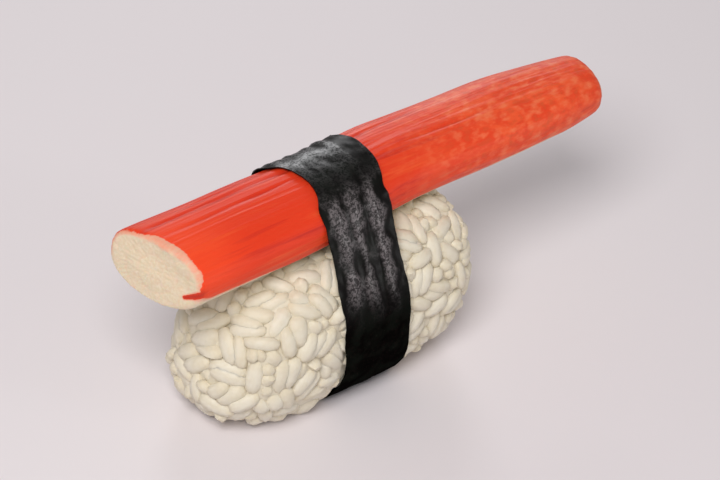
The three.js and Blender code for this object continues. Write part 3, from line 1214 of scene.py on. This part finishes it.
    def shape(self, work: Workpiece, bar: BarPoints) -> None:
        """Gives the bar its form, relief and painted numbers.

        Args:
            work: The bar.
            bar: Where each of its points lies on it.
        """
        form = self.form
        full = form.outline(bar.turn)
        half = np.stack(form.half_sizes(bar.x), axis=1)
        side = np.column_stack([bar.x, full * half])
        outward = unit(signed_power(full, form.squareness - 1.0) / half)

        crease = self.creases(side)
        lift = uneven(side, self.side_relief) - self.crease_depth * crease
        grown = side[:, 1:] + outward * lift[:, None]
        reach = np.hypot(grown[:, 0], grown[:, 1])
        y, z = (grown * bar.radius[:, None]).T
        inset = (1.0 - bar.radius) * reach
        flat = np.stack([np.zeros_like(y), y, z], axis=1)
        fold = self.folds(flat, bar, reach)
        relief = uneven(flat, self.face_relief) - self.fold_depth * fold
        away = np.sign(bar.face) * relief * smooth(inset, 0.0, self.relief_margin)

        axis_y, axis_z = form.axis(bar.x)
        work.move_to(np.stack([bar.x + form.lean(bar.x, y, z) + away, axis_y + y, axis_z + z], axis=1))
        from_cut = bar.x - form.start
        # The lip's mask also carries painted shade: the finish darkens the lip as if in shadow.
        lip = self.lip(flat) * smooth(from_cut, *self.lip_reach)
        skin = self.skin(side, outward, inset, bar.face)
        work.paint(
            crease=np.clip(crease * (1.0 - np.abs(bar.face)), 0.0, 1.0),
            fold=fold * np.abs(bar.face),
            skin=np.maximum(skin, np.clip(self.lip_strength * lip, 0.0, 1.0)),
            lip=lip,
            faded=smooth(bar.x, *self.faded),
            bright=smooth(from_cut, *self.bright_along) * smooth(side[:, 1], *self.bright_across),
        )

    def creases(self, side: np.ndarray) -> np.ndarray:
        """Tells where long creases run along the stick's top.

        Args:
            side: The points of the stick's side, from its axis.

        Returns:
            1 in a crease, 0 beside it.
        """
        x = side[:, 0]
        found = np.zeros(len(side))
        for number, run in enumerate(self.crease_runs):
            off = side[:, 1] - run.y - self.crease_sway * np.sin(x / self.crease_wave + number)
            started = smooth(x, run.start - self.crease_fading, run.start + self.crease_fading)
            faded = started * smooth(x, run.end + self.crease_fading, run.end - self.crease_fading)
            broken = 0.7 + 0.5 * wander(side, (9.0, 50.0, 50.0), 4.0 + number)
            found = np.maximum(found, hump(off, run.width) * faded * broken)
        return found * (side[:, 2] > 0)

    def folds(self, flat: np.ndarray, bar: BarPoints, reach: np.ndarray) -> np.ndarray:
        """Tells where the edges of the rolled-up layer show on the end faces.

        Args:
            flat: Y and Z of each point from the axis, after a 0.
            bar: Where each point lies on the plain bar.
            reach: How far the outline lies from the axis there.

        Returns:
            1 on an edge of the layer, 0 beside it.
        """
        roll = reach * bar.radius / self.roll_pitch + bar.turn + uneven(flat, [self.roll_waver])
        shown = smooth((1.0 - bar.radius) * reach, 0.3, 1.2) * smooth(bar.radius, 0.06, 0.2)
        return smooth(np.abs(np.mod(roll, 1.0) - 0.5), self.fold_width, 0.0) * shown

    def skin(
        self, side: np.ndarray, outward: np.ndarray, inset: np.ndarray, face: np.ndarray
    ) -> np.ndarray:
        """Tells where the stick is red.

        Args:
            side: For each point, the point of the side that lies outwards of it.
            outward: Y and Z of the outward direction there.
            inset: How far inside the outline the point lies.
            face: -1 on the cut face, 1 on the far face, 0 on the side.

        Returns:
            1 in the red, 0 in the cream, and between the two near their border.
        """
        from_cut, up = side[:, 0] - self.form.start, outward[:, 1]
        border = self.border + 0.3 * smooth(from_cut, 26.0, 2.0) + 0.2 * smooth(from_cut, 3.5, 0.0)
        border += uneven(side, [self.border_waver])
        # Over its far top the red runs on thinly across the cut face's edge.
        far_top = smooth(side[:, 1], 0.0, 6.0) * smooth(up, -0.3, 0.4) * smooth(from_cut, 2.0, 0.5)
        red = np.clip(0.5 + (up - border) / self.border_softness, 0.0, 1.0) * (1.0 - 0.4 * far_top)
        # Elsewhere the knife leaves a narrow bare edge.
        bare = 0.35 + 1.4 * smooth(up, -0.1, 0.8) * (1.0 - far_top) + uneven(side, [self.trim_waver])
        trimmed = np.clip((bare - from_cut) / 1.1, 0.0, 1.0) * (1.0 - 0.8 * far_top)
        depth = np.where(np.abs(face) > 0.5, inset + 0.12, inset * 0.7)
        red = red - depth / (self.skin_depth + self.blush_depth * far_top) - trimmed
        rim = smooth(from_cut, 2.4, 1.2) * smooth(inset, 1.5, 0.2) * smooth(up, -0.6, 0.0)
        return np.clip(np.maximum(red, self.rim * rim), 0.0, 1.0)

    def lip(self, flat: np.ndarray) -> np.ndarray:
        """Tells where a narrow lip of the red folds over the cut face's near corner.

        Args:
            flat: Y and Z of each point from the axis, after a 0.

        Returns:
            1 on the lip, 0 beside it.
        """
        share, off = along_and_off(flat[:, 1:], *self.lip_run)
        root, tip = self.lip_widths
        return hump(off, root + (tip - root) * share)


# ---- The nori strip -----------------------------------------------------------------------------


@dataclass
class NoriStrip:
    """The strip of nori: one thin creased sheet, wound once round, whose ends lap under the rice.

    It has ridges round its near side and long soft folds elsewhere, and its edges are a little ragged.
    """

    form: StripForm
    thickness: float = 0.2
    lap: float = 11.0
    around: int = 330
    across: int = 46
    lowest: float = 0.33
    lapped_rise: float = 0.24
    ragged: tuple[Layer, ...] = (Layer(0.28, (7.0, 90.0, 1.0), 1.0), Layer(0.1, (1.6, 90.0, 1.0), 2.0))
    crease: float = 0.36
    ridges: tuple[float, ...] = (-0.62, -0.08, 0.46)
    ridge_width: float = 0.2
    crumple: tuple[Layer, ...] = (Layer(0.32, (3.4, 2.6, 1.0), 4.0), Layer(0.2, (1.5, 0.9, 1.0), 5.0))
    lowest_crest: float = -0.7
    highest_crest: float = 1.5
    shiny: tuple[float, float] = (17.0, 27.0)  # Z where it starts to shine and shines
    dusty: tuple[float, float] = (20.5, 27.0)  # Z where the painted sheen on its near side starts, and where it is full

    def build(self) -> Workpiece:
        """Models the strip.

        Returns:
            The finished piece.
        """
        points, outward, length = self.form.loop()
        sheet = Workpiece.started(
            "nori_strip",
            bpy.ops.mesh.primitive_grid_add,
            x_subdivisions=self.across,
            y_subdivisions=self.around,
            size=MM,
        )
        sheet.select(rest=True)
        sheet.edit(bpy.ops.transform.resize, value=(2 * self.form.half_width, length + self.lap, 1.0))
        self.wrap(sheet, points, outward, length)
        sheet.modify("SOLIDIFY", thickness=self.thickness * MM, offset=-1.0, use_even_offset=False)
        sheet.finish(Node.NORI, NoriFinish().material())
        return sheet

    def wrap(self, sheet: Workpiece, points: np.ndarray, outward: np.ndarray, length: float) -> None:
        """Winds the flat sheet round the loop and creases it.

        Args:
            sheet: The flat sheet, as wide as the strip and as long as the loop and its lap.
            points: Y and Z of the loop, at even steps.
            outward: The outward directions there.
            length: The loop's length.
        """
        across, along, level = sheet.points().T
        run = along + length / 2
        flat = np.stack([run, across, level], axis=1)
        station = np.mod(run / length, 1.0) * len(points)
        stations = np.arange(len(points) + 1)
        loop = read_rows(station, stations, np.vstack([points, points[:1]]))
        face = unit(read_rows(station, stations, np.vstack([outward, outward[:1]])))

        middle = self.form.middle_line(face[:, 0], loop[:, 0], loop[:, 1])
        edge = self.form.half_across(face[:, 0]) + uneven(flat, self.ragged)
        x = middle + edge * (across / self.form.half_width)
        near_side = smooth(-face[:, 0], 0.2, 0.7)
        crest = self.crest(flat, np.stack([run, x, level], axis=1), near_side)
        # The rice's weight holds it flat below, and on top it lies calmer than on its sides.
        free = 1 - smooth(-face[:, 1], 0.3, 0.9)
        calm = 1 - 0.55 * smooth(face[:, 1], 0.75, 0.98)
        lapped = smooth(run, length * 0.5, length - self.lap / 2)
        lift = self.lowest + self.thickness + self.lapped_rise * lapped * (1 - free)
        lift = lift + self.crease * crest * free * calm
        y, z = (loop + face * lift[:, None]).T
        sheet.move_to(np.stack([x, y + self.form.skew(x, z), z], axis=1))
        sheet.paint(
            crest=np.clip(0.5 + 0.5 * crest * free, 0.0, 1.0),
            shine=smooth(z, *self.shiny),
            # The painted sheen's mask: the near side's upper part, lightened to stand in for reflected
            # light.
            dusty=near_side * smooth(z, *self.dusty),
        )
        middle_face = sheet.piece.data.polygons[len(sheet.piece.data.polygons) // 2]
        if middle_face.normal.z < 0:
            sheet.select(rest=True)
            sheet.edit(bpy.ops.mesh.flip_normals)

    def crest(self, flat: np.ndarray, laid: np.ndarray, near_side: np.ndarray) -> np.ndarray:
        """Tells where the sheet's creases are.

        Args:
            flat: Places along and across the flat sheet.
            laid: The same places, with X where the sheet comes to lie.
            near_side: 1 on the near side, 0 elsewhere.

        Returns:
            About 1 on a crease's crest, less beside it.
        """
        share = flat[:, 1] / self.form.half_width
        ridges = np.zeros(len(flat))
        for number, at in enumerate(self.ridges):
            off = share - at - 0.12 * wander(flat, (26.0, 90.0, 1.0), 7.0 + number)
            height = 0.8 + 0.4 * wander(flat, (6.0, 90.0, 1.0), 17.0 + number)
            ridges += hump(off, self.ridge_width) * height
        long_folds = 1 - np.abs(wander(laid, (17.0, 2.1, 1.0), 3.0)) * 1.5
        folds = long_folds * 0.62 * (1 - 0.85 * near_side) + (1.4 * ridges - 0.55) * near_side
        return np.clip(folds + uneven(laid, self.crumple), self.lowest_crest, self.highest_crest)


# ---- The rice -----------------------------------------------------------------------------------


@dataclass
class RiceCore:
    """The inside of the pressed block, which shows only in the gaps between the grains."""

    form: RiceForm
    strip: StripForm
    cuts: int = 60
    inset: float = 0.25
    bumps: tuple[Layer, ...] = (Layer(0.3, (2.6, 2.6, 2.6), 1.0), Layer(0.15, (1.4, 1.4, 1.4), 2.0))
    floor: float = 0.4
    clearance: float = 0.3
    farthest_move: float = 2.0
    tint: float = 0.5
    tip: float = 0.6

    def build(self, material: bpy.types.Material) -> Workpiece:
        """Models the core and gives the finished piece.

        Args:
            material: The rice's material.

        Returns:
            The finished piece.
        """
        work = Workpiece.started("rice_core", bpy.ops.mesh.primitive_cube_add, size=2 * MM)
        work.select(rest=True)
        work.edit(bpy.ops.mesh.subdivide, number_cuts=self.cuts)
        points = self.form.surface(work.points(), self.inset)
        work.move_to(points)
        raised = uneven(points, self.bumps) - self.form.hollowed(points)
        points = points + work.normals() * raised[:, None]
        away, direction = distance_and_slope(self.strip.stick.level, points)
        points += direction * np.clip(self.clearance - away, 0.0, self.farthest_move)[:, None]
        over, facing = self.strip.depth(points)
        bound = smooth(self.strip.beside(points, facing), 1.2, 0.3)
        points -= facing * (np.clip(over + self.clearance, 0.0, self.farthest_move) * bound)[:, None]
        points[:, 2] = np.maximum(points[:, 2], self.floor)
        work.move_to(points)
        work.paint(tint=np.full(len(points), self.tint), tip=np.full(len(points), self.tip))
        work.finish(Node.RICE, material)
        return work


@dataclass
class GrainHeap:
    """The rice grains: each lies on its neighbours, pressed into the block's form."""

    form: RiceForm
    stick: StickForm
    strip: StripForm
    count: int = 1040
    half_length: float = 3.25
    lengths: tuple[float, float] = (0.86, 1.08)  # shares of half_length
    radius: float = 1.4
    girths: tuple[float, float] = (0.86, 1.1)  # shares of radius
    broken: float = 0.06  # share of the grains
    broken_length: float = 0.68
    lying_flat: float = 0.82  # share of the grains
    flattening: tuple[float, float] = (0.95, 0.3)  # of those, and of the others
    depth_spread: float = 0.75  # how much deeper some stay than others
    shell: float = 3.4  # how deep their middles lie at first
    corners: tuple[Place, Place] = ((-42.0, -16.0, 1.2), (18.0, 16.0, 28.5))  # of the scattering
    batch: int = 20000
    squared_spacing: float = 3.9
    rounds: int = 90
    give: float = 0.28  # how much of an overlap a round clears
    farthest_move: float = 0.6
    crowding: float = 0.05
    crowded_rounds: float = 0.6  # share of the rounds
    clearance: float = 0.35
    edge_gap: float = 0.4  # how far past its edges the strip presses
    floor_share: float = 0.93  # an end's lowest height, as a share of its radius
    shapes: int = 4
    tip: float = 0.96  # where the ends are cut blunt
    length_gain: float = 1.04  # makes up for that
    pressed: float = 1.18  # width, as a share of the girth
    thicknesses: tuple[float, float] = (0.9, 1.06)  # shares of the girth
    twist: float = 0.3  # how far a grain may roll about its length
    lumps: Layer = Layer(0.09, (0.9, 0.9, 0.9), 3.0)
    seed: int = 23

    def build(self, material: bpy.types.Material) -> Workpiece:
        """Models one grain in a few shapes, copies it over the block and gives the finished piece.

        Args:
            material: The rice's material.

        Returns:
            The finished piece.
        """
        random = np.random.default_rng(self.seed)
        girth = self.radius * random.uniform(*self.girths, self.count)
        ends = self.settle(random, girth)
        models = [self.model(shape) for shape in range(self.shapes)]
        work = self.copied(models, ends, girth, random)
        work.finish(Node.RICE, material)
        return work

    def settle(self, random: np.random.Generator, girth: np.ndarray) -> np.ndarray:
        """Lets the grains push each other into place.

        Args:
            random: Where the random numbers come from.
            girth: Each grain's radius.

        Returns:
            The two ends of each grain's axis, a radius short of its tips.
        """
        broken = random.random(self.count) < self.broken
        length = self.half_length * random.uniform(*self.lengths, self.count)
        half = length * np.where(broken, self.broken_length, 1.0) - girth
        allowed = self.depth_spread * random.random(self.count) ** 1.5
        middles = self.scattered(random)
        _, outward = distance_and_slope(self.form.level, middles)
        lie = random.normal(size=middles.shape)
        shares = [self.lying_flat, 1.0 - self.lying_flat]
        flattened = random.choice(self.flattening, self.count, p=shares)[:, None]
        lie = unit(lie - flattened * outward * (lie * outward).sum(axis=1, keepdims=True))
        ends = np.stack([middles - lie * half[:, None], middles + lie * half[:, None]], axis=1)
        for turn in range(self.rounds):
            ends += self.pushed_apart(ends, girth)
            crowded = turn < self.rounds * self.crowded_rounds
            ends += self.kept_in(ends, girth, allowed, self.crowding if crowded else 0.0)
            middle = ends.mean(axis=1, keepdims=True)
            lie = unit(ends[:, 1] - ends[:, 0])
            ends = middle + np.stack([-lie, lie], axis=1) * half[:, None, None]
        return ends

    def scattered(self, random: np.random.Generator) -> np.ndarray:
        """Spreads the grains' middles through the block's outer layer.

        Args:
            random: Where the random numbers come from.

        Returns:
            The middles, one row each.
        """
        found = np.empty((0, 3))
        while len(found) < self.count:
            points = random.uniform(*np.array(self.corners), (self.batch, 3))
            depth, _ = distance_and_slope(self.form.level, points)
            depth -= self.form.grain_depth
            outside_stick, _ = distance_and_slope(self.stick.level, points)
            inside_strip, _ = self.strip.depth(points)
            fits = (depth < -self.radius) & (depth > -self.radius - self.shell)
            fits |= (points[:, 2] < self.shell) & (depth < -self.radius)
            fits &= (outside_stick > self.radius) & (inside_strip < -self.radius)
            for point in points[fits]:
                if np.all(((found - point) ** 2).sum(axis=1) > self.squared_spacing):
                    found = np.vstack([found, point])
        return found[: self.count]

    def pushed_apart(self, ends: np.ndarray, girth: np.ndarray) -> np.ndarray:
        """Finds how far grains that run into each other push each other's ends.

        Args:
            ends: The two ends of each grain's axis.
            girth: Each grain's radius.

        Returns:
            The move of each end.
        """
        middle = ends.mean(axis=1)
        square = (middle**2).sum(axis=1)
        squared_gaps = square[:, None] + square[None, :] - 2 * middle @ middle.T
        first, second = np.nonzero(np.triu(squared_gaps < (2 * self.half_length) ** 2, 1))
        on_first, on_second, step = nearest(ends[first], ends[second])
        distance = np.linalg.norm(step, axis=1)
        overlap = np.maximum(0.0, girth[first] + girth[second] - distance)
        push = step / np.maximum(distance, 1e-6)[:, None] * (overlap * self.give)[:, None]
        move = np.zeros_like(ends)
        for rows, share, sign in ((first, on_first, 1.0), (second, on_second, -1.0)):
            weight = 1.0 / ((1 - share) ** 2 + share**2)
            np.add.at(move[:, 0], rows, sign * push * ((1 - share) * weight)[:, None])
            np.add.at(move[:, 1], rows, sign * push * (share * weight)[:, None])
        return np.clip(move, -self.farthest_move, self.farthest_move)

    def kept_in(
        self, ends: np.ndarray, girth: np.ndarray, allowed: np.ndarray, crowding: float
    ) -> np.ndarray:
        """Finds how far the block's surface, the stick, the strip and the floor push the grains' ends.

        Args:
            ends: The two ends of each grain's axis.
            girth: Each grain's radius.
            allowed: How far inside the block's surface each grain has to stay.
            crowding: How far the grains crowd outwards.

        Returns:
            The move of each end.
        """
        points = ends.reshape(-1, 3)
        radius, inside = np.repeat(girth, 2), np.repeat(allowed, 2)
        depth, outward = distance_and_slope(self.form.level, points)
        too_far = depth - self.form.grain_depth + radius + inside + self.form.hollowed(points)
        inwards, outwards = np.clip(too_far, 0.0, 1.0), np.where(too_far < 0, crowding, 0.0)
        move = -outward * inwards[:, None] + outward * outwards[:, None]
        away, direction = distance_and_slope(self.stick.level, points)
        under_stick = smooth(points[:, 0], self.stick.start - 2.0, self.stick.start)
        move += direction * (np.clip(radius + self.clearance - away, 0.0, 1.0) * under_stick)[:, None]
        over, facing = self.strip.depth(points)
        beside = np.maximum(0.0, self.strip.beside(points, facing) - self.edge_gap)
        far_inside = -9.0
        room = np.where(beside < radius, np.sqrt(np.maximum(0.0, radius**2 - beside**2)), far_inside)
        move -= facing * np.clip(over + room, 0.0, 1.0)[:, None]
        move[:, 2] += np.clip(radius * self.floor_share - points[:, 2], 0.0, 1.0)
        return move.reshape(ends.shape)

    def model(self, shape: int) -> tuple[np.ndarray, np.ndarray]:
        """Models one grain that lies along X, with the size 1 in each direction.

        Args:
            shape: Which of the grain's shapes it is.

        Returns:
            Its points, and its faces as four numbers each, with the last one twice in a triangle.
        """
        ball = bpy.ops.mesh.primitive_uv_sphere_add
        work = Workpiece.started("grain", ball, segments=8, ring_count=7, radius=MM)
        points = work.points()[:, [2, 1, 0]] * np.array([1.0, 1.0, -1.0])
        along = np.clip(points[:, 0], -self.tip, self.tip)
        points[:, 0] = along
        blunt = 1.0 + 0.10 * along * (-1) ** shape + 0.28 * along**2
        points[:, 1:] *= blunt[:, None]
        points[:, 2] -= (0.05 + 0.07 * shape) * (along**2 - 0.4)
        points[:, 1] += 0.06 * (shape - 1.5) * np.sin(2.2 * along)
        rows = [tuple(face.vertices) for face in work.piece.data.polygons]
        faces = sorted(row + row[-1:] * (4 - len(row)) for row in rows)
        bpy.data.objects.remove(work.piece)
        return points, np.array(faces)

    def copied(
        self,
        models: list[tuple[np.ndarray, np.ndarray]],
        ends: np.ndarray,
        girth: np.ndarray,
        random: np.random.Generator,
    ) -> Workpiece:
        """Copies the grain's shapes to their places, joined in one mesh.

        Args:
            models: The grain's shapes.
            ends: The two ends of each grain's axis.
            girth: Each grain's radius.
            random: Where the random numbers come from.

        Returns:
            The joined mesh.
        """
        middles = ends.mean(axis=1)
        lie = unit(ends[:, 1] - ends[:, 0])
        _, outward = distance_and_slope(self.form.level, middles)
        across = unit(np.cross(outward, lie) + self.twist * random.normal(size=lie.shape))
        across = unit(across - lie * (across * lie).sum(axis=1, keepdims=True))
        up = np.cross(lie, across)
        half = np.linalg.norm(ends[:, 1] - ends[:, 0], axis=1) / 2 + girth
        thickness = girth * random.uniform(*self.thicknesses, len(ends))
        places, faces, tints, tips = [], [], [], []
        for number, middle in enumerate(middles):
            points, quads = models[random.integers(len(models))]
            size = [half[number] * self.length_gain, girth[number] * self.pressed, thickness[number]]
            local = points * np.array(size)
            local *= 1.0 + uneven(points + middle, [self.lumps])[:, None]
            places.append(middle + local @ np.stack([lie[number], across[number], up[number]]))
            faces.append(quads + number * len(points))
            tints.append(np.full(len(points), random.random()))
            tips.append(np.abs(points[:, 0]))
        placed = np.vstack(places)
        placed[:, 2] = np.maximum(placed[:, 2], 0.0)
        mesh = bpy.data.meshes.new("rice_grains")
        rows = [row[:3] if row[2] == row[3] else row for row in np.vstack(faces).tolist()]
        mesh.from_pydata((placed * MM).tolist(), [], rows)
        mesh.validate()
        piece = bpy.data.objects.new("rice_grains", mesh)
        bpy.context.scene.collection.objects.link(piece)
        work = Workpiece(piece)
        work.paint(tint=np.concatenate(tints), tip=np.concatenate(tips))
        return work


# ---- The whole piece, the studio and the camera -------------------------------------------------


@dataclass
class Nigiri:
    """The whole nigiri: rice, crab stick and nori."""

    stick: StickForm = field(default_factory=StickForm)
    rice: RiceForm = field(default_factory=RiceForm)

    def build(self) -> list[Workpiece]:
        """Models all pieces.

        Returns:
            The pieces.
        """
        strip = StripForm(self.stick, self.rice)
        rice = RiceFinish().material()
        return [
            CrabStick(self.stick).build(),
            NoriStrip(strip).build(),
            RiceCore(self.rice, strip).build(rice),
            GrainHeap(self.rice, self.stick, strip).build(rice),
        ]


@dataclass(frozen=True)
class Lamp:
    """One soft studio light."""

    name: str
    place: Place
    size: float
    power: float
    colour: Colour = (1.0, 1.0, 1.0)

    def build(self, target: Vector) -> None:
        """Hangs the light and turns it to the object.

        Args:
            target: What it is turned to, in metres.
        """
        light = bpy.data.lights.new(self.name, "AREA")
        light.shape, light.size = "DISK", self.size * MM
        light.energy, light.color = self.power, self.colour
        lamp = bpy.data.objects.new(self.name, light)
        lamp.location = Vector(self.place) * MM
        lamp.rotation_euler = (target - lamp.location).to_track_quat("-Z", "Y").to_euler()
        bpy.context.scene.collection.objects.link(lamp)


@dataclass
class Studio:
    """A plain pale floor under soft light."""

    floor_size: float = 6000.0
    sky: Colour = (1.0, 0.975, 0.95)
    sky_strength: float = 0.28
    target: Place = (-5.0, 0.0, 20.0)
    lamps: tuple[Lamp, ...] = (
        Lamp("key", (-420.0, -260.0, 640.0), 420.0, 4.6, (1.0, 0.985, 0.96)),
        Lamp("back", (382.0, 546.0, 230.0), 250.0, 1.05, (0.98, 0.98, 1.0)),
        Lamp("side", (400.0, -600.0, 140.0), 200.0, 0.6, (1.0, 0.99, 0.98)),
    )

    def build(self) -> None:
        """Lays the floor and lights it."""
        plane = bpy.ops.mesh.primitive_plane_add
        floor = Workpiece.started("studio_floor", plane, size=self.floor_size * MM)
        floor.piece.data.materials.append(FloorFinish().material())
        for lamp in self.lamps:
            lamp.build(Vector(self.target) * MM)
        world = bpy.data.worlds.new("soft_sky")
        world.use_nodes = True
        background = world.node_tree.nodes["Background"]
        background.inputs["Color"].default_value = (*self.sky, 1.0)
        background.inputs["Strength"].default_value = self.sky_strength
        bpy.context.scene.world = world
        bpy.context.scene.view_settings.view_transform = "Standard"


@dataclass(frozen=True)
class Viewpoint:
    """Where the photograph's camera stood."""

    place: Place = (-332.445, -338.904, 394.02)
    towards: Place = (0.54614, 0.56522, -0.61828)
    roll: float = math.radians(7.43)
    lens: float = 170.0
    sensor: float = 36.0
    nearest: float = 10.0
    farthest: float = 20000.0

    def build(self) -> None:
        """Sets up the camera."""
        camera = bpy.data.objects.new("camera", bpy.data.cameras.new("camera"))
        camera.data.lens, camera.data.sensor_width = self.lens, self.sensor
        camera.data.clip_start, camera.data.clip_end = self.nearest * MM, self.farthest * MM
        camera.location = Vector(self.place) * MM
        level = Vector(self.towards).to_track_quat("-Z", "Y")
        camera.rotation_mode = "QUATERNION"
        camera.rotation_quaternion = level @ Quaternion((0.0, 0.0, 1.0), self.roll)
        bpy.context.scene.collection.objects.link(camera)
        bpy.context.scene.camera = camera


def main() -> None:
    """Builds the camera, the studio and the nigiri, and reports each piece."""
    logging.basicConfig(level=logging.INFO, format="%(name)s: %(message)s")
    Viewpoint().build()
    Studio().build()
    for work in Nigiri().build():
        mesh = work.piece.data
        mesh.calc_loop_triangles()
        log.info("%s: %d triangles", work.piece.name, len(mesh.loop_triangles))


if __name__ == "__main__":
    main()
